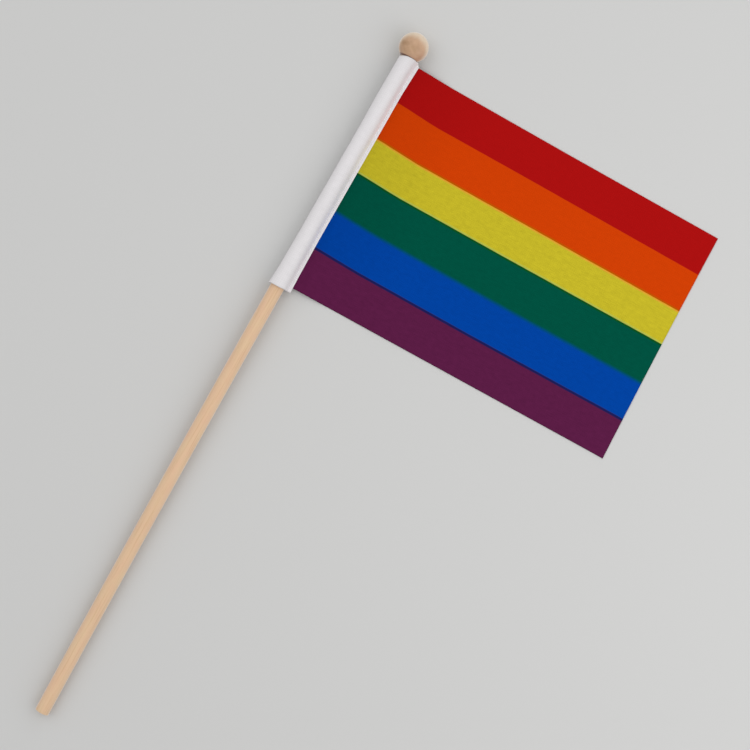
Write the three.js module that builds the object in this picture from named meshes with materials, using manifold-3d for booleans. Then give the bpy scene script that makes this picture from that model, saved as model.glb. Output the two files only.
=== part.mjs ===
// Stick flag lying face up: a printed six-stripe cloth, its white sleeve, a dowel and a ball.
// Millimetres. +Y runs up the stick to the ball, +X across the cloth to its fly, +Z is up.
// Lengths along the stick are measured from its butt end, distances across from the straight
// line that joins the butt to the ball, and heights from the surface that the flag lies on.
import * as THREE from 'three';
import { mergeVertices } from 'three/addons/utils/BufferGeometryUtils.js';
import Module from 'manifold-3d';

// Stick and ball
const STICK_DIAMETER = 5.8;
const STICK_LENGTH = 304.8;
const STICK_BOW = 0.8;
const BUTT_CHAMFER = 0.35;
const BALL_DIAMETER = 12;
const BALL_ALONG = 303;
const BALL_FLAT_DEPTH = 0.1;

// Cloth and sleeve, drawn as sheets of one thickness with a little air between them
const SHEET_THICKNESS = 1;
const PIECE_GAP = 0.3;

// How far the middle of the cloth's hoist edge lies below the stick's axis, and right of it
const SEAM_DROP = 3;
const HOIST_OFFSET = 2.6;

// Fly edge of the cloth at its lower and upper corner, and the run in which the cloth comes
// down from the sleeve to the surface
const FLY_EDGE_LOW = 145.7;
const FLY_EDGE_HIGH = 143.3;
const FALL_LENGTH = 18;

// Outline of the cloth: its lower and upper edge at places across it
const CLOTH_EDGES = [
  { across: 0, low: 196.3, high: 297.2 },
  { across: 26, low: 196.4, high: 297.1 },
  { across: 64, low: 196.9, high: 296.9 },
  { across: 100, low: 197.2, high: 296.7 },
  { across: 146, low: 197.6, high: 296.8 },
];

// Low swells where the cloth stands off the surface: middle, half widths and height
const CLOTH_SWELLS = [
  { across: 88, along: 243, halfAcross: 26, halfAlong: 17, height: 0.5 },
  { across: 60, along: 285, halfAcross: 24, halfAlong: 14, height: 0.35 },
  { across: 128, along: 221, halfAcross: 20, halfAlong: 20, height: 0.4 },
  { across: 38, along: 205, halfAcross: 16, halfAlong: 12, height: 0.3 },
];

// Sleeve along the stick: how far its flaps reach from the stick's axis, and how far it gapes
const SLEEVE_START = 194;
const SLEEVE_SECTIONS = [
  { along: 194, flap: 5.9, gape: 0.4 },
  { along: 202, flap: 5.75, gape: 0.2 },
  { along: 218, flap: 5.4, gape: 0 },
  { along: 256, flap: 5.5, gape: 0 },
  { along: 284, flap: 5.45, gape: 0.05 },
  { along: 298, flap: 5.85, gape: 0.15 },
];

// Section of the sleeve: where its round part starts and ends, counted from +X, the level
// part of its upper flap, and the reach of the curves between the flaps and the round part
const ROUND_FROM = THREE.MathUtils.degToRad(12);
const ROUND_TO = THREE.MathUtils.degToRad(252);
const FLAP_LEVEL = 0.4;
const FLAP_CURVE = 1.2;

// Faces around and along each piece
const STICK_SIDES = 32;
const STICK_STEPS = 12;
const BALL_SIDES = 32;
const BALL_RINGS = 22;
const CLOTH_COLUMNS = 34;
const CLOTH_ROWS = 14;
const CLOTH_CROWDING = 1.35;
const SLEEVE_COLUMNS = 32;
const SLEEVE_ROWS = 18;
const WELD_DISTANCE = 1e-4;

const STICK_RADIUS = STICK_DIAMETER / 2;
const BORE_RADIUS = STICK_RADIUS + PIECE_GAP;
const BALL_RADIUS = BALL_DIAMETER / 2;
const BALL_HEIGHT = BALL_RADIUS - BALL_FLAT_DEPTH;
const SHEET_PITCH = SHEET_THICKNESS + PIECE_GAP;
const SLEEVE_END = BALL_ALONG - Math.sqrt((BALL_RADIUS + PIECE_GAP) ** 2 - BORE_RADIUS ** 2);

const MATERIALS = {
  birch: { color: 0xd7b996, roughness: 0.72, metalness: 0 },
  ball: { color: 0xbea07d, roughness: 0.6, metalness: 0 },
  sleeve: { color: 0xdad8da, roughness: 0.9, metalness: 0 },
  cloth: { color: 0xa91010, roughness: 0.88, metalness: 0 },
};

const wasm = await Module();
wasm.setup();

// Reads one column of a table at a place between its rows
function between(table, place, key, column) {
  let row = 1;
  while (row < table.length - 1 && place > table[row][key]) {
    row += 1;
  }
  const before = table[row - 1];
  const after = table[row];
  const share = THREE.MathUtils.inverseLerp(before[key], after[key], place);
  return THREE.MathUtils.lerp(before[column], after[column], THREE.MathUtils.clamp(share, 0, 1));
}

// The stick's centre line: it bows a little away from the cloth and rises to the ball
function stickAxis(along) {
  const share = along / BALL_ALONG;
  return {
    across: -4 * STICK_BOW * share * (1 - share),
    height: THREE.MathUtils.lerp(STICK_RADIUS, BALL_HEIGHT, share),
  };
}

// Carries each point of a straight shape to its place and joins the points that faces share
function reshape(geometry, carry) {
  geometry.deleteAttribute('normal');
  geometry.deleteAttribute('uv');
  const position = geometry.attributes.position;
  const point = new THREE.Vector3();
  for (let i = 0; i < position.count; i += 1) {
    carry(point.fromBufferAttribute(position, i));
    position.setXYZ(i, point.x, point.y, point.z);
  }
  return mergeVertices(geometry, WELD_DISTANCE);
}

// Bends a straight round shape, centred on the Y axis, onto the stick's centre line
function ontoStick(geometry) {
  return reshape(geometry, (point) => {
    const axis = stickAxis(point.y);
    point.x += axis.across;
    point.z += axis.height;
  });
}

// Turns a closed shape into a solid that can be cut
function toSolid(geometry) {
  return new wasm.Manifold(new wasm.Mesh({
    numProp: 3,
    vertProperties: new Float32Array(geometry.attributes.position.array),
    triVerts: new Uint32Array(geometry.index.array),
  }));
}

function toGeometry(solid) {
  const mesh = solid.getMesh();
  const geometry = new THREE.BufferGeometry();
  geometry.setAttribute('position', new THREE.BufferAttribute(mesh.vertProperties, 3));
  geometry.setIndex(new THREE.BufferAttribute(mesh.triVerts, 1));
  return geometry;
}

// Dowel with an eased butt end, a plain end inside the ball, and rings that let it bow
function makeStick() {
  const profile = [
    new THREE.Vector2(0, 0),
    new THREE.Vector2(STICK_RADIUS - BUTT_CHAMFER, 0),
  ];
  for (let step = 0; step <= STICK_STEPS; step += 1) {
    const along = THREE.MathUtils.lerp(BUTT_CHAMFER, STICK_LENGTH, step / STICK_STEPS);
    profile.push(new THREE.Vector2(STICK_RADIUS, along));
  }
  profile.push(new THREE.Vector2(0, STICK_LENGTH));
  return ontoStick(new THREE.LatheGeometry(profile, STICK_SIDES));
}

// Turned ball, bored for the stick and flattened a little where it rests
function makeBall() {
  const ball = new THREE.SphereGeometry(BALL_RADIUS, BALL_SIDES, BALL_RINGS);
  ball.translate(0, BALL_ALONG, BALL_HEIGHT);
  const boreStart = BALL_ALONG - BALL_DIAMETER;
  const boreEnd = STICK_LENGTH + PIECE_GAP;
  const bore = new THREE.CylinderGeometry(
    BORE_RADIUS, BORE_RADIUS, boreEnd - boreStart, STICK_SIDES);
  bore.translate(0, (boreStart + boreEnd) / 2, 0);
  const surface = new THREE.BoxGeometry(BALL_DIAMETER, BALL_DIAMETER, BALL_DIAMETER);
  surface.translate(0, BALL_ALONG, -BALL_DIAMETER / 2);
  const asDrawn = () => {};
  return toGeometry(toSolid(reshape(ball, asDrawn))
    .subtract(toSolid(ontoStick(bore)))
    .subtract(toSolid(reshape(surface, asDrawn))));
}

// Underside of the cloth: level inside the sleeve, then falling to the surface and its swells
function clothHeight(across, along) {
  const axis = stickAxis(along);
  const raised = axis.height - SEAM_DROP - SHEET_THICKNESS / 2;
  const clear = axis.across + between(SLEEVE_SECTIONS, along, 'along', 'flap') + PIECE_GAP;
  let height = raised * (1 - THREE.MathUtils.smoothstep(across, clear, clear + FALL_LENGTH));
  for (const swell of CLOTH_SWELLS) {
    const away = ((across - swell.across) / swell.halfAcross) ** 2
      + ((along - swell.along) / swell.halfAlong) ** 2;
    height += swell.height * Math.max(0, 1 - away) ** 2;
  }
  return height;
}

// The cloth is a thin box whose columns crowd towards the stick, where it is raised
function makeCloth() {
  const sheet = new THREE.BoxGeometry(1, 1, 1, CLOTH_COLUMNS, CLOTH_ROWS, 1);
  return reshape(sheet, (point) => {
    const up = point.y + 0.5;
    const out = (point.x + 0.5) ** CLOTH_CROWDING;
    const hoist = HOIST_OFFSET + stickAxis(
      THREE.MathUtils.lerp(CLOTH_EDGES[0].low, CLOTH_EDGES[0].high, up)).across;
    const fly = THREE.MathUtils.lerp(FLY_EDGE_LOW, FLY_EDGE_HIGH, up);
    const across = THREE.MathUtils.lerp(hoist, fly, out);
    const low = between(CLOTH_EDGES, across, 'across', 'low');
    const high = between(CLOTH_EDGES, across, 'across', 'high');
    const along = THREE.MathUtils.lerp(low, high, up);
    const layer = (point.z + 0.5) * SHEET_THICKNESS;
    point.set(across, along, clothHeight(across, along) + layer);
  });
}

// A point of the sleeve's round part, or one ahead of it on its tangent
function roundPoint(radius, angle, ahead) {
  return new THREE.Vector2(radius, ahead).rotateAround(new THREE.Vector2(), angle);
}

// Middle line of the sleeve's strip, seen along the stick from its axis: in along the upper
// flap, up and round the stick, and out along the lower flap
function sleeveLine(along) {
  const flap = between(SLEEVE_SECTIONS, along, 'along', 'flap');
  const gape = between(SLEEVE_SECTIONS, along, 'along', 'gape');
  const radius = BORE_RADIUS + SHEET_THICKNESS / 2 + gape;
  const upper = SHEET_PITCH - SEAM_DROP;
  const lower = -SHEET_PITCH - SEAM_DROP;
  const climb = roundPoint(radius, ROUND_FROM, -FLAP_CURVE);
  const start = roundPoint(radius, ROUND_FROM, 0);
  const end = roundPoint(radius, ROUND_TO, 0);
  const settle = roundPoint(radius, ROUND_TO, FLAP_CURVE);
  const line = new THREE.Path();
  line.moveTo(flap, upper);
  line.lineTo(flap - FLAP_LEVEL, upper);
  line.bezierCurveTo(radius + PIECE_GAP, upper, climb.x, climb.y, start.x, start.y);
  line.absarc(0, 0, radius, ROUND_FROM, ROUND_TO, false);
  line.bezierCurveTo(settle.x, settle.y, 0, lower, FLAP_CURVE, lower);
  line.lineTo(flap, lower);
  return line;
}

// The sleeve is a strip folded round the stick, with the cloth's hoist edge between its flaps
function makeSleeve() {
  const strip = new THREE.BoxGeometry(1, 1, 1, SLEEVE_COLUMNS, SLEEVE_ROWS, 1);
  return reshape(strip, (point) => {
    const along = THREE.MathUtils.lerp(SLEEVE_START, SLEEVE_END, point.y + 0.5);
    const axis = stickAxis(along);
    const line = sleeveLine(along);
    const middle = line.getPoint(point.x + 0.5);
    const heading = line.getTangent(point.x + 0.5);
    const layer = point.z * SHEET_THICKNESS;
    point.set(
      axis.across + middle.x - heading.y * layer,
      along,
      axis.height + middle.y + heading.x * layer);
  });
}

function makePiece(name, geometry, look) {
  geometry.computeVertexNormals();
  const mesh = new THREE.Mesh(geometry, new THREE.MeshStandardMaterial(look));
  mesh.name = name;
  return mesh;
}

const flag = new THREE.Group();
flag.add(makePiece('dowel', makeStick(), MATERIALS.birch));
flag.add(makePiece('ball', makeBall(), MATERIALS.ball));
flag.add(makePiece('sleeve', makeSleeve(), MATERIALS.sleeve));
flag.add(makePiece('flag_cloth', makeCloth(), MATERIALS.cloth));

// Puts the origin under the middle of the whole flag
const reach = new THREE.Box3().setFromObject(flag, true);
const centre = reach.getCenter(new THREE.Vector3());
flag.position.set(-centre.x, -centre.y, -reach.min.z);

export default flag;
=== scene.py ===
# Stick flag lying face up: a cloth printed in six stripes, its white sleeve, a stick and a ball.
# Places on it are in millimetres: along the stick from its butt end, across from the straight
# line that joins the butt to the ball, and up from the surface. Blender's own values are metres.
import math

import bmesh
import bpy
from mathutils import Matrix, Vector, noise
from mathutils.geometry import interpolate_bezier


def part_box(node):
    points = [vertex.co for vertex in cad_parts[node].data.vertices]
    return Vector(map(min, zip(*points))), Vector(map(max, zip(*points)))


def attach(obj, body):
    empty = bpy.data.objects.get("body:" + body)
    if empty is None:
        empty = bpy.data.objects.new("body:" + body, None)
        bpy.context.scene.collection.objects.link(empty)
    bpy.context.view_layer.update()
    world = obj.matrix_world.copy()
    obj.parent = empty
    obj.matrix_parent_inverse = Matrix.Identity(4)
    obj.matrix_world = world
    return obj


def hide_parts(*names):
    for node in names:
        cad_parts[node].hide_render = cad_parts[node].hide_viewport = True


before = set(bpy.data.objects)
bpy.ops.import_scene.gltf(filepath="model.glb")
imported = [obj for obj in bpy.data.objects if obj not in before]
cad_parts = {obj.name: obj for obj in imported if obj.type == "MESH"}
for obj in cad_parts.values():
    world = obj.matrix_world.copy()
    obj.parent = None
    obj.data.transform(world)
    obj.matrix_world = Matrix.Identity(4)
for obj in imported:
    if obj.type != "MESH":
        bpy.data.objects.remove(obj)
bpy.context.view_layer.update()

bl_info = {
    "name": "Stick flag",
    "version": (1, 0, 0),
    "blender": (4, 5, 0),
    "location": "View3D > Sidebar > Stick flag",
    "description": "Makes a small striped hand flag on a wooden stick, lying face up",
    "category": "Add Mesh",
}

MM = 0.001

# Places that the frame gives
BALL_LOW, BALL_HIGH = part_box("ball")
DOWEL_LOW, DOWEL_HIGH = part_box("dowel")
SLEEVE_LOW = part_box("sleeve")[0]
STICK_X = (BALL_LOW.x + BALL_HIGH.x) / 2
BUTT_Y = DOWEL_LOW.y
TO_FRAME = Matrix.Translation((STICK_X, BUTT_Y, 0)) @ Matrix.Scale(MM, 4)
STICK_LENGTH = (DOWEL_HIGH.y - DOWEL_LOW.y) / MM
BALL_RADIUS = (BALL_HIGH.x - BALL_LOW.x) / 2 / MM
BALL_ALONG = (BALL_HIGH.y - BUTT_Y) / MM - BALL_RADIUS
BALL_HEIGHT = BALL_HIGH.z / MM - BALL_RADIUS
SLEEVE_START = (SLEEVE_LOW.y - BUTT_Y) / MM

# Stick and ball: the air round the stick in its bore, how far the bore's mouth and the stick's
# ends are rounded, how deep and in which steps inwards those ends are dished by the saw, and how
# much and over what length the stick thins
BORE_EASE = 0.05
MOUTH_EASE = 0.25
BUTT_EASE = 0.35
END_DISH = 0.12
END_DISH_STEPS = (0.3, 0.9, 0.9)
STICK_WAIST = 0.01
STICK_WAIST_LENGTH = 30.0

# Seam: how far the middle of the cloth's hoist edge lies below the stick's axis and right of it,
# how much air there is between the cloth and each flap of the sleeve, and the seam's ripples
SEAM_DROP = 3.0
HOIST_OFFSET = 2.6
SEAM_EASE = 0.02
SEAM_RIPPLE = 0.05
SEAM_RIPPLE_LENGTH = 9.0

# Sleeve along the stick, from the stick's axis: how far its flaps reach, where the upper one is
# pinched against the cloth, how far the round part gapes, and how far it is pushed out and up
SLEEVE_SECTIONS = (
    {"along": 194, "flap": 5.5, "pinch": 4.2, "gape": 0.65, "out": -0.1, "up": 0.0},
    {"along": 202, "flap": 5.28, "pinch": 4.05, "gape": 0.3, "out": 0.0, "up": 0.0},
    {"along": 218, "flap": 5.1, "pinch": 4.0, "gape": 0.1, "out": 0.0, "up": 0.0},
    {"along": 256, "flap": 5.18, "pinch": 4.0, "gape": 0.0, "out": 0.0, "up": 0.0},
    {"along": 284, "flap": 5.1, "pinch": 4.0, "gape": 0.1, "out": 0.0, "up": 0.0},
    {"along": 292, "flap": 5.4, "pinch": 4.15, "gape": 0.13, "out": 0.03, "up": 0.0},
    {"along": 295.5, "flap": 5.55, "pinch": 4.35, "gape": 0.23, "out": 0.14, "up": 0.08},
    {"along": 298.7, "flap": 5.7, "pinch": 4.9, "gape": 0.52, "out": 0.45, "up": 0.33},
)

# Section of the sleeve: where its round part ends below and above, counted from +X, and how far
# the curves into the flaps reach
ROUND_BELOW = math.radians(254)
ROUND_ABOVE = math.radians(24)
PINCH_CURVE = 0.35
FALL_CURVE = 2.6
UNDER_CURVE = 1.2
SLEEVE_EASE = 0.05

# Ends of the sleeve: at its lower end the round part hangs past its flaps but for its crest, and
# at its upper end it is pushed against the ball, where the corners of its flaps are cut off
SLEEVE_END = 298.7
RIM_HANG = 0.3
RIM_RISE = 0.15
RIM_GAP = 0.08
RIM_GAP_LEFT = 0.35
CORNER_CUT = 1.3

# Place along the stick where the sleeve's strip is measured across
SLEEVE_GAUGE = 240

# Folds of the sleeve: long soft ones along the stick, gathers at its open lower end, and the
# runs from the strip's two edges in which both set in
FOLD_HEIGHT = 0.12
FOLD_WIDTH = 3.2
FOLD_LENGTH = 16.0
GATHER_HEIGHT = 0.42
GATHER_WIDTH = 0.9
GATHER_LENGTH = 12.0
GATHER_REACH = 5.0
LOOSE_FROM_LOWER = (2.0, 8.0)
LOOSE_FROM_UPPER = (1.2, 4.0)

# Stripes from the bottom up: ink, height on the flat print, where their lower edge lies along
# the stick at each of the edge places across the cloth, how soft that edge is, how much slubs
# show, and how much painted shade darkens the print beside the sleeve, standing in for the shade
# there (the thick column)
STRIPES = (
    {"ink": "purple", "flat": 17.4, "edge": (196.2, 196.4, 196.85, 197.45),
     "soft": 0.1, "slub": 0.2, "thick": 0.0},
    {"ink": "blue", "flat": 16.5, "edge": (214.65, 214.2, 214.3, 214.9),
     "soft": 0.7, "slub": 0.15, "thick": 0.1},
    {"ink": "green", "flat": 17.6, "edge": (231.15, 230.55, 230.55, 231.05),
     "soft": 1.2, "slub": 0.16, "thick": 0.1},
    {"ink": "yellow", "flat": 15.4, "edge": (249.05, 248.5, 248.55, 248.95),
     "soft": 0.1, "slub": 0.21, "thick": 0.1},
    {"ink": "orange", "flat": 16.7, "edge": (264.5, 263.8, 263.85, 263.7),
     "soft": 0.1, "slub": 0.09, "thick": 0.1},
    {"ink": "red", "flat": 16.4, "edge": (281.1, 280.4, 280.4, 280.2),
     "soft": 0.15, "slub": 0.06, "thick": 0.1},
)
TOP_EDGE = (297.2, 297.1, 296.8, 296.75)
EDGE_PLACES = (6, 24, 75, 140)

# Lines in which neighbouring inks overlap or leave the cloth bare: the stripe above the line,
# its ink, how far its middle lies above that stripe's edge, and its width
INK_LINES = (
    {"above": "blue", "ink": "overlap_blue", "middle": -0.15, "width": 0.95},
    {"above": "yellow", "ink": "overlap_green", "middle": -0.5, "width": 0.6},
    {"above": "yellow", "ink": "bare_green", "middle": 0.35, "width": 0.6},
    {"above": "orange", "ink": "bare_orange", "middle": -0.35, "width": 0.5},
    {"above": "orange", "ink": "overlap_orange", "middle": 0.4, "width": 0.6},
)

# How far the edges of the inks waver, the size of that, and how far from the sleeve the painted
# shade beside it reaches
INK_WOBBLE = 0.12
INK_WOBBLE_SIZE = (5, 2, 1)
HOIST_SHADE_REACH = 45.0

# Look of both cloths: their brightness, how much more the crowns of the threads have, how much
# paler the reverse of the print is, and the sizes of thick places in the threads and of mottle
CLOTH_LIGHT = 0.965
WEAVE_LIGHT = 0.07
REVERSE_PALER = 0.08
SLUB_SIZE = (3.5, 0.5, 1)
MOTTLE_SIZE = (2.4, 1.8, 1)

# White cloth: the size and the strength of its clouds, how much its slubs show, how much painted
# light brightens it along the upper flap against the stick's shade there, and where that starts
# and is full, from the strip's upper edge
WHITE_CLOUD_SIZE = (4, 14, 1)
WHITE_CLOUD_SHADE = 0.07
WHITE_SLUB = 0.06
FLAP_PAINTED_LIGHT = 0.11
FLAP_PAINTED_LIGHT_REACH = (5.5, 3.0)

# Cloth: its fly edge at its lower and upper corner and how far that is drawn in between them,
# and where past the sleeve it starts to come down to the surface and gets there
FLY_EDGE_LOW = 145.85
FLY_EDGE_HIGH = 143.1
FLY_BOW = 0.24
FALL_START = 0.3
FALL_LENGTH = 18.0
FLAT_WIDTH = 142.4
FLAT_HEIGHT = sum(stripe["flat"] for stripe in STRIPES)

# Low swells where the cloth stands off the surface: middle, half widths and height
CLOTH_SWELLS = (
    {"across": 88, "along": 243, "half_across": 26, "half_along": 17, "height": 0.5},
    {"across": 60, "along": 285, "half_across": 24, "half_along": 14, "height": 0.35},
    {"across": 128, "along": 221, "half_across": 20, "half_along": 20, "height": 0.4},
    {"across": 38, "along": 205, "half_across": 16, "half_along": 12, "height": 0.3},
)

# Small unevenness of the cloth: puckers that the seam draws into it, which are full between
# their rise and their crest, and faint ripples all over
PUCKER_HEIGHT = 0.14
PUCKER_WIDTH = 3.6
PUCKER_LENGTH = 20.0
PUCKER_RISE = 1.5
PUCKER_CREST = 2.0
PUCKER_REACH = 14.0
RIPPLE_HEIGHT = 0.16
RIPPLE_LENGTH = 22.0
RIPPLE_RISE = 10.0

# Stitches: the share of its step that one fills, how far it stands up as a share of the thread,
# and its slant in degrees with how much and how fast that changes from one to the next
STITCH_FILL = 0.86
STITCH_LIFT = 0.15
STITCH_SLANT = 4.0
STITCH_SLANT_SWAY = 3.0
STITCH_SLANT_STEP = 1.7

# Places in the noise that keep one kind of unevenness apart from another
NOISE_LANES = {"stick": 3.1, "seam": 7.3, "pucker": 1.7, "ripple": 40, "fold": 5.1, "gather": 9.4}

# Points in each sheet and round each turned piece
CLOTH_COLUMNS = 200
CLOTH_ROWS = 150
CLOTH_CROWDING = 1.25
SLEEVE_ROWS = 170
SECTION_STEPS = {"lower": 10, "under": 8, "round": 44, "fall": 14, "upper": 8}
STICK_SIDES = 56
STICK_STEPS = 96
BALL_SIDES = 64
BALL_STEPS = 30
STITCH_SIDES = 8
STITCH_RINGS = 6

# Distance between the growth rings in the stick's end and in the ball
END_RINGS = 1.3
BALL_RINGS = 1.6

# Dark patches in the ball's wood: where they are from the ball's middle, how far they reach and
# how strong they are
BALL_FIGURE = (
    {"spot": (-4.4, -0.8, 4.0), "reach": (1.8, 1.5, 2.4), "share": 0.6},
    {"spot": (-2.6, -0.6, 5.4), "reach": (1.7, 1.3, 2.4), "share": 0.5},
    {"spot": (-3.5, -3.0, 3.7), "reach": (2.2, 2.4, 3.0), "share": 0.3},
    {"spot": (1.4, -0.7, 5.7), "reach": (2.6, 1.5, 2.4), "share": 0.2},
)

# Painted highlight: cream fills the ball's far lower side past a plane, standing in for the pale
# rim that light gives it there: which way the plane lies, how far that way from the ball's middle
# it sets in, how soft and how ragged its edge is, and how strong it is
BALL_HIGHLIGHT_LEAN = (0.05, 0.6, -1.0)
BALL_HIGHLIGHT_EDGE = -2.8
BALL_HIGHLIGHT_SOFT = 2.0
BALL_HIGHLIGHT_RAGGED = 3.4
BALL_HIGHLIGHT_SHARE = 0.6

# Painted shadow darkens the ball round the end of the sleeve, most of all on its left, where the
# gap between them lies in shade: the middle of the dark spot from the ball's middle, how far it
# reaches and how soft its edge is
GAP_SHADOW_SPOT = (0.05, -5.0, 0.12)
GAP_SHADOW_REACH = 4.1
GAP_SHADOW_SOFT = 0.4

# The camera looks straight down, with the place, turn and lens that fit the photograph
CAMERA_PLACE = Vector((-19.7, 27.6, 750)) * MM
CAMERA_TURN = math.radians(29.28)
CAMERA_LENS = 90

# Half the width of the floor, in metres
FLOOR_REACH = 6

# Studio lights, all white: what they aim at and the direction, distance and size of each in
# metres, with its power in watts, and the strength of the white sky
AIM = Vector((0, 0.03, 0))
LIGHTS = (
    {"name": "key", "toward": (-0.6, 0.08, 0.79), "away": 1.5, "size": 1.2, "power": 4.3},
    {"name": "fill", "toward": (0.66, 0.1, 0.74), "away": 0.52, "size": 0.5, "power": 0.78},
    {"name": "rim", "toward": (0.15, 0.9, 0.4), "away": 1.0, "size": 0.8, "power": 1.4},
)
WORLD_STRENGTH = 0.645

# Sockets that carry colours in the Mix node, where 2 and 3 carry numbers
MIX_A = 6
MIX_B = 7
MIX_RESULT = 2


def linear(code):
    """Turns an sRGB hex colour into the linear colour that Blender works in."""
    shares = [int(code[i:i + 2], 16) / 255 for i in (0, 2, 4)]
    return tuple(s / 12.92 if s <= 0.04045 else ((s + 0.055) / 1.055) ** 2.4 for s in shares) + (1.0,)


def length(name, description, millimetres):
    """A length that a user can change, with its default given in millimetres."""
    return bpy.props.FloatProperty(
        name=name, description=description, default=millimetres * MM, min=0.0, unit="LENGTH", precision=5)


def colour(name, description, code):
    """A colour that a user can change, with its default given as sRGB hex."""
    return bpy.props.FloatVectorProperty(
        name=name, description=description, default=linear(code), size=4, min=0.0, max=1.0, subtype="COLOR")


class STICKFLAG_PG_sizes(bpy.types.PropertyGroup):
    stick: length("Stick", "Diameter of the round stick", 5.8)
    bow: length("Bow", "How far the stick bows away from the cloth", 0.9)
    cloth: length("Cloth", "Thickness of the printed cloth", 0.22)
    sleeve: length("Sleeve", "Thickness of the sleeve's cloth", 0.2)
    thread: length("Thread", "Diameter of the sewing thread", 0.24)
    stitch: length("Stitch", "Length of one stitch", 2.5)
    stitch_margin: length("Stitch margin", "From the flap's edge to the row of stitches", 0.8)
    weave: length("Weave", "Distance between the threads of the weave as drawn", 0.8)


class STICKFLAG_PG_colours(bpy.types.PropertyGroup):
    red: colour("Red", "Ink of the top stripe", "A91010")
    orange: colour("Orange", "Ink of the second stripe", "CE3F05")
    yellow: colour("Yellow", "Ink of the third stripe", "C3B529")
    green: colour("Green", "Ink of the fourth stripe", "01503F")
    blue: colour("Blue", "Ink of the fifth stripe", "02429F")
    purple: colour("Purple", "Ink of the bottom stripe", "5A1D44")
    overlap_blue: colour("Overlap by blue", "Where the blue and purple inks overlap", "1C1D54")
    overlap_green: colour("Overlap by green", "Where the yellow and green inks overlap", "0A5018")
    overlap_orange: colour("Overlap by orange", "Where the orange and yellow inks overlap", "BA5502")
    bare_green: colour("Bare line by green", "Where cloth shows between yellow and green", "B2BA4C")
    bare_orange: colour("Bare line by orange", "Where cloth shows between orange and yellow", "DCA034")
    white: colour("White", "Cloth of the sleeve", "E5E2E4")
    thread: colour("Thread", "Sewing thread", "ECEAEC")
    birch: colour("Birch", "Pale wood of the stick", "DFC49D")
    birch_warm: colour("Birch, warm", "Pinkish tone in the stick", "E2B698")
    birch_grain: colour("Birch grain", "Grain lines of the stick", "C7A276")
    birch_end: colour("Birch end", "Growth rings in the stick's end grain", "AD8458")
    ball: colour("Ball", "Wood of the ball", "CDA883")
    ball_warm: colour("Ball, warm", "Pinkish tone in the ball's wood", "D0A890")
    ball_highlight: colour("Ball, pale", "Cream sapwood of the ball", "F0E2CA")
    ball_dark: colour("Ball, dark", "Dark figure of the ball's wood", "9E7952")
    gap_shadow: colour("Glue", "Wood that glue has darkened", "6E4630")
    floor: colour("Floor", "Plain studio floor", "CFCFCE")


def new_material(name):
    """Makes a material and returns it with its node tree and its one shader."""
    material = bpy.data.materials.new(name)
    material.use_nodes = True
    tree = material.node_tree
    return material, tree, tree.nodes["Principled BSDF"]


def add_node(tree, kind, inputs=None, **settings):
    """Adds a node with its settings, and fills its sockets with values or with other sockets."""
    made = tree.nodes.new("ShaderNode" + kind)
    for name, value in settings.items():
        setattr(made, name, value)
    fill_sockets(tree, made, inputs or {})
    return made


def fill_sockets(tree, target, inputs):
    """Links or sets the named or numbered sockets of a node."""
    for name, value in inputs.items():
        if isinstance(value, bpy.types.NodeSocket):
            tree.links.new(value, target.inputs[name])
        else:
            target.inputs[name].default_value = value


def math_of(tree, operation, *values):
    """One sum of sockets and numbers, as a socket."""
    return add_node(tree, "Math", dict(enumerate(values)), operation=operation).outputs[0]


def blend(tree, share, below, above):
    """Mixes two colours, as a socket: a share of 0 gives the first, and 1 the second."""
    sockets = {0: share, MIX_A: below, MIX_B: above}
    return add_node(tree, "Mix", sockets, data_type="RGBA").outputs[MIX_RESULT]


def blend_numbers(tree, share, below, above):
    """Mixes two numbers in the same way."""
    return add_node(tree, "Mix", {0: share, 2: below, 3: above}).outputs[0]


def ramp(tree, value, low, high, top=1.0, shape="SMOOTHSTEP"):
    """Rises from 0 at low to top at high, which may be the smaller of the two, as a socket."""
    return add_node(tree, "MapRange", {
        "Value": value, "From Min": low, "From Max": high, "To Max": top,
    }, interpolation_type=shape).outputs[0]


def plain_weave(tree, flat, pitch):
    """Height of a plain weave, from 0 to 1: threads both ways, each over and under in turn."""
    split = add_node(tree, "SeparateXYZ", {0: flat})
    waves = [
        math_of(tree, "SINE", math_of(tree, "MULTIPLY", split.outputs[axis], math.pi / pitch))
        for axis in ("X", "Y")
    ]
    warp, weft = [math_of(tree, "ABSOLUTE", wave) for wave in waves]
    over = math_of(tree, "MULTIPLY_ADD", math_of(tree, "MULTIPLY", *waves), 0.5, 0.5)
    return blend_numbers(tree, over, weft, warp)


def uneven(tree, place, size, detail=2.0):
    """Smooth noise from 0 to 1 over a place. Its patches are about size along each axis, which is
    in millimetres."""
    stretched = add_node(
        tree, "Mapping", {"Vector": place, "Scale": [1 / (reach * MM) for reach in size]})
    return add_node(
        tree, "TexNoise", {"Vector": stretched.outputs[0], "Scale": 1.0, "Detail": detail}).outputs["Fac"]


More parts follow.
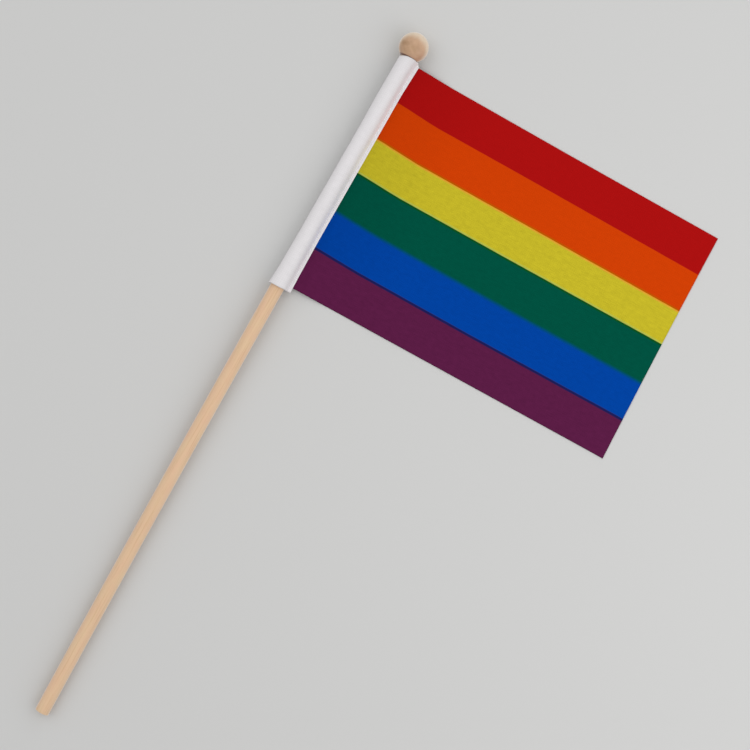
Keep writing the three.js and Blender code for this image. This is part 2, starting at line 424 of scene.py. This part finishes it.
def polyester(name, sizes, reverse, paint):
    """Plain-weave polyester: dull and close, with threads that thicken here and there along the fly.
    paint(tree, flat) gives its colour and how much those slubs show."""
    material, tree, shader = new_material(name)
    flat = add_node(tree, "UVMap", uv_map="flat").outputs[0]
    ink, slub_share = paint(tree, flat)
    # Such cloth has about four threads to a millimetre. They are drawn 0.8 mm apart to show at all.
    weave = plain_weave(tree, flat, sizes.weave)
    slubs = uneven(tree, flat, SLUB_SIZE, 1.0)
    mottle = uneven(tree, flat, MOTTLE_SIZE, 1.0)
    centred = math_of(tree, "SUBTRACT", math_of(tree, "ADD", slubs, mottle), 1.0)
    light = math_of(tree, "MULTIPLY_ADD", centred, slub_share, CLOTH_LIGHT)
    light = math_of(tree, "MULTIPLY_ADD", weave, WEAVE_LIGHT, light)
    light = math_of(tree, "MULTIPLY", light, 1 + REVERSE_PALER if reverse else 1.0)
    shaded = add_node(tree, "VectorMath", {0: ink, "Scale": light}, operation="SCALE")
    relief = math_of(tree, "MULTIPLY_ADD", slubs, 0.6, weave)
    bump = add_node(tree, "Bump", {"Strength": 0.3, "Distance": 0.08 * MM, "Height": relief})
    fill_sockets(tree, shader, {
        "Base Color": shaded.outputs[0],
        "Roughness": 0.88,
        "Specular IOR Level": 0.01,
        "Sheen Weight": 0.03,
        "Sheen Roughness": 0.3,
        "Normal": bump.outputs[0],
    })
    return material


def printed_stripes(sizes, colours, reverse):
    """Six inks on plain-weave polyester. They meet in slightly wavering edges, and along three of
    those the inks overlap or leave a hair of pale cloth."""
    def paint(tree, flat):
        wander = uneven(tree, flat, INK_WOBBLE_SIZE)
        split = add_node(tree, "SeparateXYZ", {0: flat})
        up = math_of(tree, "MULTIPLY_ADD", wander, INK_WOBBLE * MM, split.outputs["Y"])
        up = math_of(tree, "SUBTRACT", up, INK_WOBBLE * MM / 2)
        edges = {}
        edge = 0.0
        ink = None
        for stripe in STRIPES:
            edges[stripe["ink"]] = edge
            tone = getattr(colours, stripe["ink"])
            if ink is None:
                ink, slub, thick = tone, stripe["slub"], stripe["thick"]
            else:
                above = ramp(tree, up, (edge - stripe["soft"]) * MM, (edge + stripe["soft"]) * MM)
                ink = blend(tree, above, ink, tone)
                slub = blend_numbers(tree, above, slub, stripe["slub"])
                thick = blend_numbers(tree, above, thick, stripe["thick"])
            edge += stripe["flat"]
        for line in INK_LINES:
            middle = (edges[line["above"]] + line["middle"]) * MM
            away = math_of(tree, "ABSOLUTE", math_of(tree, "SUBTRACT", up, middle))
            inside = ramp(tree, away, line["width"] * 0.75 * MM, line["width"] * 0.25 * MM)
            ink = blend(tree, inside, ink, getattr(colours, line["ink"]))
        # Painted shade: the print darkens towards the sleeve, by each stripe's thick share, standing in for
        # the shade beside it.
        hoist_shade = ramp(tree, split.outputs["X"], HOIST_SHADE_REACH * MM, 0.0, shape="SMOOTHERSTEP")
        unshaded = math_of(tree, "SUBTRACT", 1.0, math_of(tree, "MULTIPLY", hoist_shade, thick))
        ink = add_node(tree, "VectorMath", {0: ink, "Scale": unshaded}, operation="SCALE").outputs[0]
        return ink, slub

    side = "reverse" if reverse else "face"
    return polyester(f"printed plain-weave polyester, {side}", sizes, reverse, paint)


def white_cloth(sizes, colours, width):
    """Unprinted plain-weave polyester: a cool white with faint grey clouds, with painted light making
    it paler along the upper flap, against the shade that the stick casts there."""
    def paint(tree, flat):
        clouds = uneven(tree, flat, WHITE_CLOUD_SIZE)
        shade = [value * (1 - WHITE_CLOUD_SHADE) for value in colours.white[:3]] + [1.0]
        ink = blend(tree, clouds, shade, colours.white)
        across = add_node(tree, "SeparateXYZ", {0: flat}).outputs["X"]
        # Painted light: the strip is brightened towards its upper edge, along the flap that the stick
        # shades.
        start, full = [(width - reach) * MM for reach in FLAP_PAINTED_LIGHT_REACH]
        light = math_of(tree, "ADD", ramp(tree, across, start, full, FLAP_PAINTED_LIGHT), 1.0)
        ink = add_node(tree, "VectorMath", {0: ink, "Scale": light}, operation="SCALE").outputs[0]
        return ink, WHITE_SLUB

    return polyester("white plain-weave polyester", sizes, False, paint)


def sewing_thread(colours):
    """Spun polyester thread: white, a little brighter than the sleeve, ribbed by its twist."""
    material, tree, shader = new_material("spun polyester thread")
    place = add_node(tree, "TexCoord").outputs["Object"]
    # The twist of such thread is finer than 0.3 mm, and is drawn at 0.35 mm so that it shows.
    twist = uneven(tree, place, (0.35, 0.35, 0.35))
    bump = add_node(tree, "Bump", {"Strength": 0.4, "Distance": 0.05 * MM, "Height": twist})
    fill_sockets(tree, shader, {
        "Base Color": colours.thread,
        "Roughness": 0.7,
        "Specular IOR Level": 0.2,
        "Normal": bump.outputs[0],
    })
    return material


def sanded_birch(colours):
    """Bare birch dowel, sanded: pale, with pinkish clouds some centimetres long, fine grain lines
    along the stick and short dark flecks."""
    material, tree, shader = new_material("sanded birch")
    place = add_node(tree, "TexCoord").outputs["Object"]
    clouds = uneven(tree, place, (3, 8, 3))
    tone = blend(tree, clouds, colours.birch, colours.birch_warm)
    grain = uneven(tree, place, (0.45, 24, 0.45), 3.0)
    tone = blend(tree, ramp(tree, grain, 0.48, 0.75, 0.5), tone, colours.birch_grain)
    flecks = uneven(tree, place, (0.3, 2.2, 0.3), 1.0)
    tone = blend(tree, ramp(tree, flecks, 0.66, 0.78, 0.35, "LINEAR"), tone, colours.birch_grain)
    rough = math_of(tree, "MULTIPLY_ADD", grain, 0.2, 0.58)
    bump = add_node(tree, "Bump", {"Strength": 0.25, "Distance": 0.06 * MM, "Height": grain})
    fill_sockets(tree, shader, {
        "Base Color": tone,
        "Roughness": rough,
        "Specular IOR Level": 0.25,
        "Sheen Weight": 0.9,
        "Sheen Roughness": 0.45,
        "Normal": bump.outputs[0],
    })
    return material


def growth_rings(tree, place, spacing, inputs, **settings):
    """Growth rings as a share from 0 to 1, their spacing given in millimetres."""
    # The wave texture repeats every pi / 10, divided by its scale.
    inputs = {"Vector": place, "Scale": math.pi / 10 / (spacing * MM), "Detail": 2.0, **inputs}
    return add_node(tree, "TexWave", inputs, **settings).outputs["Fac"]


def birch_end(colours):
    """End grain of the dowel: duller and darker, with growth rings that cross it in shallow arcs."""
    material, tree, shader = new_material("birch end grain")
    place = add_node(tree, "TexCoord").outputs["Object"]
    # The rings' heart lies well below the stick, because a dowel is cut from a wide board.
    centred = add_node(tree, "Mapping", {
        "Vector": place, "Location": (-STICK_X + 3 * MM, -BUTT_Y, 9 * MM), "Scale": (1, 0, 1),
    }).outputs[0]
    rings = growth_rings(
        tree, centred, END_RINGS, {"Distortion": 2.0}, wave_type="RINGS", rings_direction="Y")
    pores = uneven(tree, place, (0.15, 0.15, 0.15))
    share = math_of(tree, "MULTIPLY_ADD", rings, 0.5, math_of(tree, "MULTIPLY", pores, 0.5))
    bump = add_node(tree, "Bump", {"Strength": 0.5, "Distance": 0.08 * MM, "Height": pores})
    fill_sockets(tree, shader, {
        "Base Color": blend(tree, share, colours.birch, colours.birch_end),
        "Roughness": 0.85,
        "Specular IOR Level": 0.15,
        "Normal": bump.outputs[0],
    })
    return material


def turned_hardwood(colours):
    """Turned hardwood ball, tumbled smooth: tan with soft brown figure, a cream painted highlight shaped
    like sapwood, faint growth rings and fine flecks, a narrow ring of painted shadow round the
    sleeve's end, and a dull gloss."""
    material, tree, shader = new_material("turned hardwood")
    place = add_node(tree, "TexCoord").outputs["Object"]
    centred = add_node(tree, "Mapping", {
        "Vector": place, "Location": (-STICK_X, -BUTT_Y - BALL_ALONG * MM, -BALL_HEIGHT * MM),
    }).outputs[0]
    figure = uneven(tree, centred, (2.6, 3.4, 2.6))
    rings = growth_rings(
        tree, centred, BALL_RINGS, {"Distortion": 3.0, "Detail Scale": 0.8}, bands_direction="DIAGONAL")
    flecks = uneven(tree, centred, (0.3, 1.1, 0.3))
    share = math_of(tree, "MULTIPLY_ADD", figure, 0.9, -0.25)
    share = math_of(tree, "MULTIPLY_ADD", rings, 0.1, share)
    share = math_of(tree, "MULTIPLY_ADD", flecks, 0.16, share)
    clouds = uneven(tree, centred, (5, 4, 5))
    tone = blend(tree, clouds, colours.ball, colours.ball_warm)
    tone = blend(tree, share, tone, colours.ball_dark)
    for patch in BALL_FIGURE:
        away = add_node(tree, "Mapping", {
            "Vector": centred,
            "Location": [-spot / reach for spot, reach in zip(patch["spot"], patch["reach"])],
            "Scale": [1 / (reach * MM) for reach in patch["reach"]],
        }).outputs[0]
        away = add_node(tree, "VectorMath", {0: away}, operation="LENGTH").outputs["Value"]
        ragged = math_of(tree, "MULTIPLY_ADD", figure, 1.2, math_of(tree, "SUBTRACT", away, 0.6))
        inside = ramp(tree, ragged, 1.1, 0.3, patch["share"])
        tone = blend(tree, inside, tone, colours.ball_dark)
    # Painted highlight: past a ragged plane the ball is blended to cream, standing in for its lit rim.
    depth = add_node(tree, "VectorMath", {0: centred, 1: BALL_HIGHLIGHT_LEAN}, operation="DOT_PRODUCT")
    depth = math_of(tree, "MULTIPLY_ADD", figure, BALL_HIGHLIGHT_RAGGED * MM, depth.outputs["Value"])
    edge = BALL_HIGHLIGHT_EDGE + BALL_HIGHLIGHT_RAGGED / 2
    painted_highlight = ramp(
        tree, depth, (edge - BALL_HIGHLIGHT_SOFT) * MM, (edge + BALL_HIGHLIGHT_SOFT) * MM, BALL_HIGHLIGHT_SHARE)
    tone = blend(tree, painted_highlight, tone, colours.ball_highlight)
    # Painted shadow: the ball is darkened in a ring round the sleeve's end, where the gap is in shade.
    away = add_node(tree, "VectorMath", {0: centred, 1: Vector(GAP_SHADOW_SPOT) * MM}, operation="DISTANCE")
    shadowed = ramp(tree, away.outputs["Value"], GAP_SHADOW_REACH * MM, (GAP_SHADOW_REACH - GAP_SHADOW_SOFT) * MM)
    tone = blend(tree, shadowed, tone, colours.gap_shadow)
    bump = add_node(tree, "Bump", {"Strength": 0.2, "Distance": 0.06 * MM, "Height": flecks})
    fill_sockets(tree, shader, {
        "Base Color": tone,
        "Roughness": 0.48,
        "Specular IOR Level": 0.55,
        "Sheen Weight": 1.0,
        "Sheen Roughness": 0.35,
        "Normal": bump.outputs[0],
    })
    return material


def between(rows, key, place, column):
    """Reads one column of a table at a place between its rows."""
    last = len(rows) - 1
    row = next((i for i in range(1, last) if place <= rows[i][key]), last)
    before, after = rows[row - 1], rows[row]
    share = min(max((place - before[key]) / (after[key] - before[key]), 0.0), 1.0)
    return before[column] + (after[column] - before[column]) * share


def smooth(low, high, value):
    """Rises softly from 0 at low to 1 at high, which may be the smaller of the two."""
    share = min(max((value - low) / (high - low), 0.0), 1.0)
    return share * share * (3 - 2 * share)


def mix(low, high, share):
    """The number at a share of the way from low to high."""
    return low + (high - low) * share


def stick_axis(along, sizes):
    """The stick's centre line: how far across and how high it runs at a place along it."""
    share = along / BALL_ALONG
    bow = -4 * sizes.bow / MM * share * (1 - share)
    return bow, mix(sizes.stick / 2 / MM, BALL_HEIGHT, share)


def flap_reach(along):
    """How far the sleeve's flaps reach from the stick's axis."""
    return between(SLEEVE_SECTIONS, "along", along, "flap")


def seam_height(along, sizes):
    """Height of the middle of the cloth where it is sewn into the sleeve."""
    ripple = SEAM_RIPPLE * noise.noise(Vector((0, along / SEAM_RIPPLE_LENGTH, NOISE_LANES["seam"])))
    return stick_axis(along, sizes)[1] - SEAM_DROP + ripple


def bend_onto_stick(bm, sizes):
    """Carries a straight shape, centred on the Y axis, onto the stick's centre line."""
    for vert in bm.verts:
        across, height = stick_axis(vert.co.y, sizes)
        vert.co += Vector((across, 0, height))


def make_piece(bm, name, materials, node=None):
    """Carries a finished shape to its place in the frame and makes it a piece."""
    bmesh.ops.transform(bm, matrix=TO_FRAME, verts=bm.verts)
    for face in bm.faces:
        face.smooth = True
    mesh = bpy.data.meshes.new(name)
    bm.to_mesh(mesh)
    bm.free()
    piece = bpy.data.objects.new(name, mesh)
    bpy.context.scene.collection.objects.link(piece)
    for material in materials:
        mesh.materials.append(material)
    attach(piece, "root")
    if node:
        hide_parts(node)
    return piece


def lay_grid(columns, rows, flat, place):
    """Makes a sheet. flat and place take the shares of the way across and along it, and give the
    point on the cut cloth, in millimetres, and the point where it lies."""
    bm = bmesh.new()
    bmesh.ops.create_grid(bm, x_segments=columns, y_segments=rows, size=0.5)
    layer = bm.loops.layers.uv.new("flat")
    for face in bm.faces:
        for loop in face.loops:
            spot = loop.vert.co
            loop[layer].uv = Vector(flat(spot.x + 0.5, spot.y + 0.5)) * MM
    for vert in bm.verts:
        vert.co = place(vert.co.x + 0.5, vert.co.y + 0.5)
    return bm


def thicken(piece, thickness, reverse=0):
    """Gives a sheet its thickness; its underside may take another of its materials."""
    solid = piece.modifiers.new("thickness", "SOLIDIFY")
    solid.thickness = thickness
    solid.offset = 0
    solid.material_offset = reverse


class STICKFLAG_OT_stage(bpy.types.Operator):
    """Sets the floor, the soft studio lights and the camera"""
    bl_idname = "stick_flag.stage"
    bl_label = "Stage"

    def execute(self, context):
        scene = context.scene
        scene.view_settings.view_transform = "Standard"
        self.make_floor(scene)
        self.make_lights(scene)
        lens = bpy.data.cameras.new("camera")
        lens.lens = CAMERA_LENS
        lens.clip_start = 10 * MM
        camera = bpy.data.objects.new("camera", lens)
        camera.location = CAMERA_PLACE
        camera.rotation_euler = (0, 0, CAMERA_TURN)
        scene.collection.objects.link(camera)
        scene.camera = camera
        return {"FINISHED"}

    def make_floor(self, scene):
        bm = bmesh.new()
        bmesh.ops.create_grid(bm, x_segments=4, y_segments=4, size=FLOOR_REACH)
        mesh = bpy.data.meshes.new("floor")
        bm.to_mesh(mesh)
        bm.free()
        material, tree, shader = new_material("matt studio floor")
        fill_sockets(tree, shader, {
            "Base Color": scene.stick_flag_colours.floor, "Roughness": 0.9, "Specular IOR Level": 0.1,
        })
        mesh.materials.append(material)
        floor = bpy.data.objects.new("floor", mesh)
        scene.collection.objects.link(floor)

    def make_lights(self, scene):
        world = bpy.data.worlds.new("studio")
        world.use_nodes = True
        sky = world.node_tree.nodes["Background"]
        sky.inputs["Color"].default_value = linear("FFFFFF")
        sky.inputs["Strength"].default_value = WORLD_STRENGTH
        scene.world = world
        for light in LIGHTS:
            lamp = bpy.data.lights.new(light["name"], "AREA")
            lamp.size = light["size"]
            lamp.energy = light["power"]
            toward = Vector(light["toward"]).normalized()
            holder = bpy.data.objects.new(light["name"], lamp)
            holder.location = AIM + toward * light["away"]
            holder.rotation_euler = toward.to_track_quat("Z", "Y").to_euler()
            scene.collection.objects.link(holder)


class STICKFLAG_OT_dowel(bpy.types.Operator):
    """Makes the birch stick, eased at its ends and bent onto its bow"""
    bl_idname = "stick_flag.dowel"
    bl_label = "Dowel"

    def execute(self, context):
        sizes = context.scene.stick_flag_sizes
        radius = sizes.stick / 2 / MM
        bm = bmesh.new()
        lengthwise = Matrix.Translation((0, STICK_LENGTH / 2, 0)) @ Matrix.Rotation(-math.pi / 2, 4, "X")
        bmesh.ops.create_cone(
            bm, cap_ends=True, segments=STICK_SIDES, radius1=radius, radius2=radius,
            depth=STICK_LENGTH, matrix=lengthwise)
        long_edges = [e for e in bm.edges if e.calc_length() > STICK_LENGTH / 2]
        bmesh.ops.subdivide_edges(bm, edges=long_edges, cuts=STICK_STEPS, use_grid_fill=True)
        caps = [f for f in bm.faces if len(f.verts) == STICK_SIDES]
        rims = list({e for f in caps for e in f.edges})
        bmesh.ops.bevel(
            bm, geom=rims, offset=BUTT_EASE, segments=4, profile=0.5, affect="EDGES", material=-1)
        caps = [f for f in bm.faces if len(f.verts) == STICK_SIDES]
        for face in caps:
            face.material_index = 1
        for inward in END_DISH_STEPS:
            bmesh.ops.inset_region(
                bm, faces=caps, thickness=inward, depth=-END_DISH / len(END_DISH_STEPS))
        for vert in bm.verts:
            thinning = abs(noise.noise(Vector((NOISE_LANES["stick"], vert.co.y / STICK_WAIST_LENGTH, 0))))
            waist = 1 - STICK_WAIST / radius * thinning
            vert.co.x *= waist
            vert.co.z *= waist
        bend_onto_stick(bm, sizes)
        colours = context.scene.stick_flag_colours
        make_piece(
            bm, "birch_stick", [sanded_birch(colours), birch_end(colours)], "dowel")
        return {"FINISHED"}


class STICKFLAG_OT_ball(bpy.types.Operator):
    """Turns the wooden ball with its bore, and flattens it a little where it rests"""
    bl_idname = "stick_flag.ball"
    bl_label = "Ball"

    def execute(self, context):
        sizes = context.scene.stick_flag_sizes
        bore = sizes.stick / 2 / MM + BORE_EASE
        mouth = math.sqrt(BALL_RADIUS ** 2 - bore ** 2)
        bottom = STICK_LENGTH + BORE_EASE - BALL_ALONG
        bm = bmesh.new()
        pole = bm.verts.new((0, BALL_RADIUS, 0))
        arc = bmesh.ops.spin(
            bm, geom=[pole], cent=(0, 0, 0), axis=(1, 0, 0), angle=math.pi - math.asin(bore / BALL_RADIUS),
            steps=BALL_STEPS)
        rim = next(g for g in arc["geom_last"] if isinstance(g, bmesh.types.BMVert))
        for step in ((0, mouth + bottom, 0), (0, 0, -bore)):
            rim = bmesh.ops.extrude_vert_indiv(bm, verts=[rim])["verts"][0]
            bmesh.ops.translate(bm, vec=step, verts=[rim])
        bmesh.ops.spin(
            bm, geom=bm.verts[:] + bm.edges[:], cent=(0, 0, 0), axis=(0, 1, 0), angle=math.tau,
            steps=BALL_SIDES, use_merge=True)
        bmesh.ops.remove_doubles(bm, verts=bm.verts, dist=0.001)
        mouth_ring = [
            e for e in bm.edges
            if all(abs(v.co.y + mouth) < 0.001 and abs(v.co.xz.length - bore) < 0.001 for v in e.verts)
        ]
        bmesh.ops.bevel(
            bm, geom=mouth_ring, offset=MOUTH_EASE, segments=2, profile=0.5, affect="EDGES", material=-1)
        bmesh.ops.recalc_face_normals(bm, faces=bm.faces)
        across, height = stick_axis(BALL_ALONG + 1, sizes)
        lean = Vector((across, 1, height - BALL_HEIGHT)).to_track_quat("Y", "Z").to_matrix().to_4x4()
        bmesh.ops.transform(
            bm, matrix=Matrix.Translation((0, BALL_ALONG, BALL_HEIGHT)) @ lean, verts=bm.verts)
        for vert in bm.verts:
            vert.co.z = max(vert.co.z, 0)
        colours = context.scene.stick_flag_colours
        make_piece(bm, "turned_ball", [turned_hardwood(colours)], "ball")
        return {"FINISHED"}


class STICKFLAG_OT_cloth(bpy.types.Operator):
    """Lays the printed cloth, drawn up to its seam and puckered beside it"""
    bl_idname = "stick_flag.cloth"
    bl_label = "Printed cloth"

    def execute(self, context):
        sizes = context.scene.stick_flag_sizes
        colours = context.scene.stick_flag_colours
        bm = lay_grid(CLOTH_COLUMNS, CLOTH_ROWS, self.flat, lambda u, v: self.place(u, v, sizes))
        materials = [printed_stripes(sizes, colours, reverse) for reverse in (False, True)]
        cloth = make_piece(bm, "striped_cloth", materials, "flag_cloth")
        thicken(cloth, sizes.cloth, reverse=1)
        return {"FINISHED"}

    def flat(self, u, v):
        return u ** CLOTH_CROWDING * FLAT_WIDTH, v * FLAT_HEIGHT

    def place(self, u, v, sizes):
        up = v * FLAT_HEIGHT
        hoist = HOIST_OFFSET + stick_axis(SLEEVE_START + up, sizes)[0]
        fly = mix(FLY_EDGE_LOW, FLY_EDGE_HIGH, v) - 4 * FLY_BOW * v * (1 - v)
        across = mix(hoist, fly, u ** CLOTH_CROWDING)
        along = self.stripe_place(across, up)
        return Vector((across, along, self.underside(across, along, sizes) + sizes.cloth / 2 / MM))

    def stripe_place(self, across, up):
        """Where a height on the flat print lies along the stick, at a distance across it."""
        edges = [stripe["edge"] for stripe in STRIPES] + [TOP_EDGE]
        below = 0.0
        for stripe, low, high in zip(STRIPES, edges, edges[1:]):
            if up <= below + stripe["flat"] or stripe is STRIPES[-1]:
                break
            below += stripe["flat"]
        places = [
            {"across": at, "along": mix(a, b, (up - below) / stripe["flat"])}
            for at, a, b in zip(EDGE_PLACES, low, high)
        ]
        return between(places, "across", across, "along")

    def underside(self, across, along, sizes):
        """Height of the underside: level in the seam, then down to the surface and its swells."""
        edge = stick_axis(along, sizes)[0] + flap_reach(along)
        raised = seam_height(along, sizes) - sizes.cloth / 2 / MM
        height = raised * (1 - smooth(edge + FALL_START, edge + FALL_LENGTH, across))
        for swell in CLOTH_SWELLS:
            away = ((across - swell["across"]) / swell["half_across"]) ** 2
            away += ((along - swell["along"]) / swell["half_along"]) ** 2
            height += swell["height"] * max(0, 1 - away) ** 2
        pucker = noise.noise(
            Vector((across / PUCKER_LENGTH, along / PUCKER_WIDTH, NOISE_LANES["pucker"])))
        pucker *= smooth(edge, edge + PUCKER_RISE, across)
        pucker *= 1 - smooth(edge + PUCKER_CREST, edge + PUCKER_REACH, across)
        height += PUCKER_HEIGHT * pucker
        ripple = noise.noise(Vector((across, along, NOISE_LANES["ripple"])) / RIPPLE_LENGTH)
        ripple = 0.5 + 0.5 * ripple
        height += RIPPLE_HEIGHT * smooth(edge, edge + RIPPLE_RISE, across) * ripple
        return max(height, 0)


class STICKFLAG_OT_sleeve(bpy.types.Operator):
    """Folds the white sleeve round the stick, with the cloth's edge between its flaps"""
    bl_idname = "stick_flag.sleeve"
    bl_label = "Sleeve"

    def execute(self, context):
        sizes = context.scene.stick_flag_sizes
        columns = sum(SECTION_STEPS.values())
        middle = self.section(SLEEVE_GAUGE, sizes)
        steps = [(b - a).length for a, b in zip(middle, middle[1:])]
        spots = [sum(steps[:i]) for i in range(columns + 1)]
        top = self.section(SLEEVE_END, sizes)
        rims = [self.rims(spot, sizes) for spot in top]

        def flat(u, v):
            return spots[round(u * columns)], v * (SLEEVE_END - SLEEVE_START)

        def place(u, v):
            column = round(u * columns)
            return self.place(column, mix(*rims[column], v), spots, sizes)

        bm = lay_grid(columns, SLEEVE_ROWS, flat, place)
        cloth = white_cloth(sizes, context.scene.stick_flag_colours, spots[-1])
        sleeve = make_piece(bm, "white_sleeve_cloth", [cloth], "sleeve")
        thicken(sleeve, sizes.sleeve)
        return {"FINISHED"}

    def section(self, along, sizes):
        """Middle line of the strip seen along the stick from its axis: in along the lower flap, round
        the stick by its left side, down into the pinch and out along the upper flap."""
        flap, pinch, gape, out, up = [
            between(SLEEVE_SECTIONS, "along", along, column)
            for column in ("flap", "pinch", "gape", "out", "up")
        ]
        half = sizes.sleeve / 2 / MM
        radius = sizes.stick / 2 / MM + SLEEVE_EASE + gape + half
        lift = sizes.cloth / 2 / MM + SEAM_EASE + half
        lower, upper = -SEAM_DROP - lift, -SEAM_DROP + lift

        def on_round(angle, ahead=0.0):
            return Vector((
                out + radius * math.cos(angle) + ahead * math.sin(angle),
                up + radius * math.sin(angle) - ahead * math.cos(angle)))

        count = SECTION_STEPS
        points = [
            Vector((mix(flap, UNDER_CURVE, i / count["lower"]), lower)) for i in range(count["lower"])]
        points += interpolate_bezier(
            Vector((UNDER_CURVE, lower)), Vector((0, lower)), on_round(ROUND_BELOW, -UNDER_CURVE / 2),
            on_round(ROUND_BELOW), count["under"] + 1)[:-1]
        points += [
            on_round(mix(ROUND_BELOW, ROUND_ABOVE, i / count["round"])) for i in range(count["round"])]
        points += interpolate_bezier(
            on_round(ROUND_ABOVE), on_round(ROUND_ABOVE, FALL_CURVE), Vector((pinch - PINCH_CURVE, upper)),
            Vector((pinch, upper)), count["fall"] + 1)[:-1]
        points += [Vector((mix(pinch, flap, i / count["upper"]), upper)) for i in range(count["upper"] + 1)]
        return points

    def rims(self, spot, sizes):
        """How far along the stick a thread of the strip starts, and where it meets the ball."""
        crest = max(0, spot.y / spot.length) ** 2
        start = SLEEVE_START - RIM_HANG * smooth(4, 1, spot.x) + RIM_RISE * crest
        clear = BALL_RADIUS + RIM_GAP + RIM_GAP_LEFT * smooth(0, -3, spot.x) + sizes.sleeve / 2 / MM
        end = BALL_ALONG - math.sqrt(max(clear ** 2 - spot.length ** 2, 0))
        corner = max(0, CORNER_CUT - (flap_reach(SLEEVE_END) - spot.x))
        return start, min(SLEEVE_END, end) - corner

    def place(self, column, along, spots, sizes):
        """Where a point of the strip lies, with its folds and gathers."""
        points = self.section(along, sizes)
        heading = (points[min(column + 1, len(points) - 1)] - points[max(column - 1, 0)]).normalized()
        outward = Vector((-heading.y, heading.x))
        spot = points[column] + outward * self.fold(spots[column], spots[-1], along)
        across, height = stick_axis(along, sizes)
        ripple = seam_height(along, sizes) - (height - SEAM_DROP)
        height += ripple * smooth(0, -SEAM_DROP, spot.y)
        return Vector((across + spot.x, along, height + spot.y))

    def fold(self, spot, last, along):
        """How far the strip stands off its plain shape, outwards. Its flaps stay flat."""
        loose = smooth(*LOOSE_FROM_LOWER, spot) * smooth(*LOOSE_FROM_UPPER, last - spot)
        fold = noise.noise(Vector((spot / FOLD_WIDTH, along / FOLD_LENGTH, NOISE_LANES["fold"])))
        gather = noise.noise(
            Vector((spot / GATHER_WIDTH, along / GATHER_LENGTH, NOISE_LANES["gather"])))
        reach = max(0, 1 - (along - SLEEVE_START) / GATHER_REACH) ** 2
        return loose * (FOLD_HEIGHT * max(0, fold) + GATHER_HEIGHT * reach * max(0, gather))


class STICKFLAG_OT_stitches(bpy.types.Operator):
    """Sews the sleeve shut with a row of stitches on each side"""
    bl_idname = "stick_flag.stitches"
    bl_label = "Stitches"

    def execute(self, context):
        sizes = context.scene.stick_flag_sizes
        step = sizes.stitch / MM
        thick = sizes.thread / MM
        half_seam = sizes.cloth / 2 / MM + SEAM_EASE + sizes.sleeve / MM
        shape = Matrix.Diagonal((thick / 2, thick / 2, step * STITCH_FILL / 2, 1))
        bm = bmesh.new()
        count = int((SLEEVE_END - SLEEVE_START - 2 * CORNER_CUT) / step)
        for number in range(count):
            along = SLEEVE_START + CORNER_CUT + (number + 0.5) * step
            across = stick_axis(along, sizes)[0] + flap_reach(along) - sizes.stitch_margin / MM
            sway = STITCH_SLANT_SWAY * math.sin(number * STITCH_SLANT_STEP)
            slant = Matrix.Rotation(math.radians(STITCH_SLANT + sway), 4, "Z")
            for side in (-1, 1):
                height = seam_height(along, sizes) + side * (half_seam + thick * STITCH_LIFT)
                spot = Matrix.Translation((across, along, height))
                bmesh.ops.create_uvsphere(
                    bm, u_segments=STITCH_SIDES, v_segments=STITCH_RINGS, radius=1,
                    matrix=spot @ slant @ Matrix.Rotation(math.pi / 2, 4, "X") @ shape)
        colours = context.scene.stick_flag_colours
        make_piece(bm, "sleeve_stitches", [sewing_thread(colours)])
        return {"FINISHED"}


class STICKFLAG_PT_panel(bpy.types.Panel):
    """Lists the pieces of the flag, and the sizes and colours that they are made in"""
    bl_idname = "STICKFLAG_PT_panel"
    bl_label = "Stick flag"
    bl_space_type = "VIEW_3D"
    bl_region_type = "UI"
    bl_category = "Stick flag"

    def draw(self, context):
        for operator in OPERATORS:
            self.layout.operator(operator.bl_idname)
        for group in (context.scene.stick_flag_sizes, context.scene.stick_flag_colours):
            box = self.layout.box()
            for name in group.__annotations__:
                box.prop(group, name)


OPERATORS = (
    STICKFLAG_OT_stage,
    STICKFLAG_OT_dowel,
    STICKFLAG_OT_ball,
    STICKFLAG_OT_cloth,
    STICKFLAG_OT_sleeve,
    STICKFLAG_OT_stitches,
)
CLASSES = (STICKFLAG_PG_sizes, STICKFLAG_PG_colours, *OPERATORS, STICKFLAG_PT_panel)


def register():
    for cls in CLASSES:
        bpy.utils.register_class(cls)
    bpy.types.Scene.stick_flag_sizes = bpy.props.PointerProperty(type=STICKFLAG_PG_sizes)
    bpy.types.Scene.stick_flag_colours = bpy.props.PointerProperty(type=STICKFLAG_PG_colours)


def unregister():
    del bpy.types.Scene.stick_flag_colours
    del bpy.types.Scene.stick_flag_sizes
    for cls in reversed(CLASSES):
        bpy.utils.unregister_class(cls)


def main():
    register()
    bpy.ops.stick_flag.stage()
    bpy.ops.stick_flag.dowel()
    bpy.ops.stick_flag.ball()
    bpy.ops.stick_flag.cloth()
    bpy.ops.stick_flag.sleeve()
    bpy.ops.stick_flag.stitches()


if __name__ == "__main__":
    main()
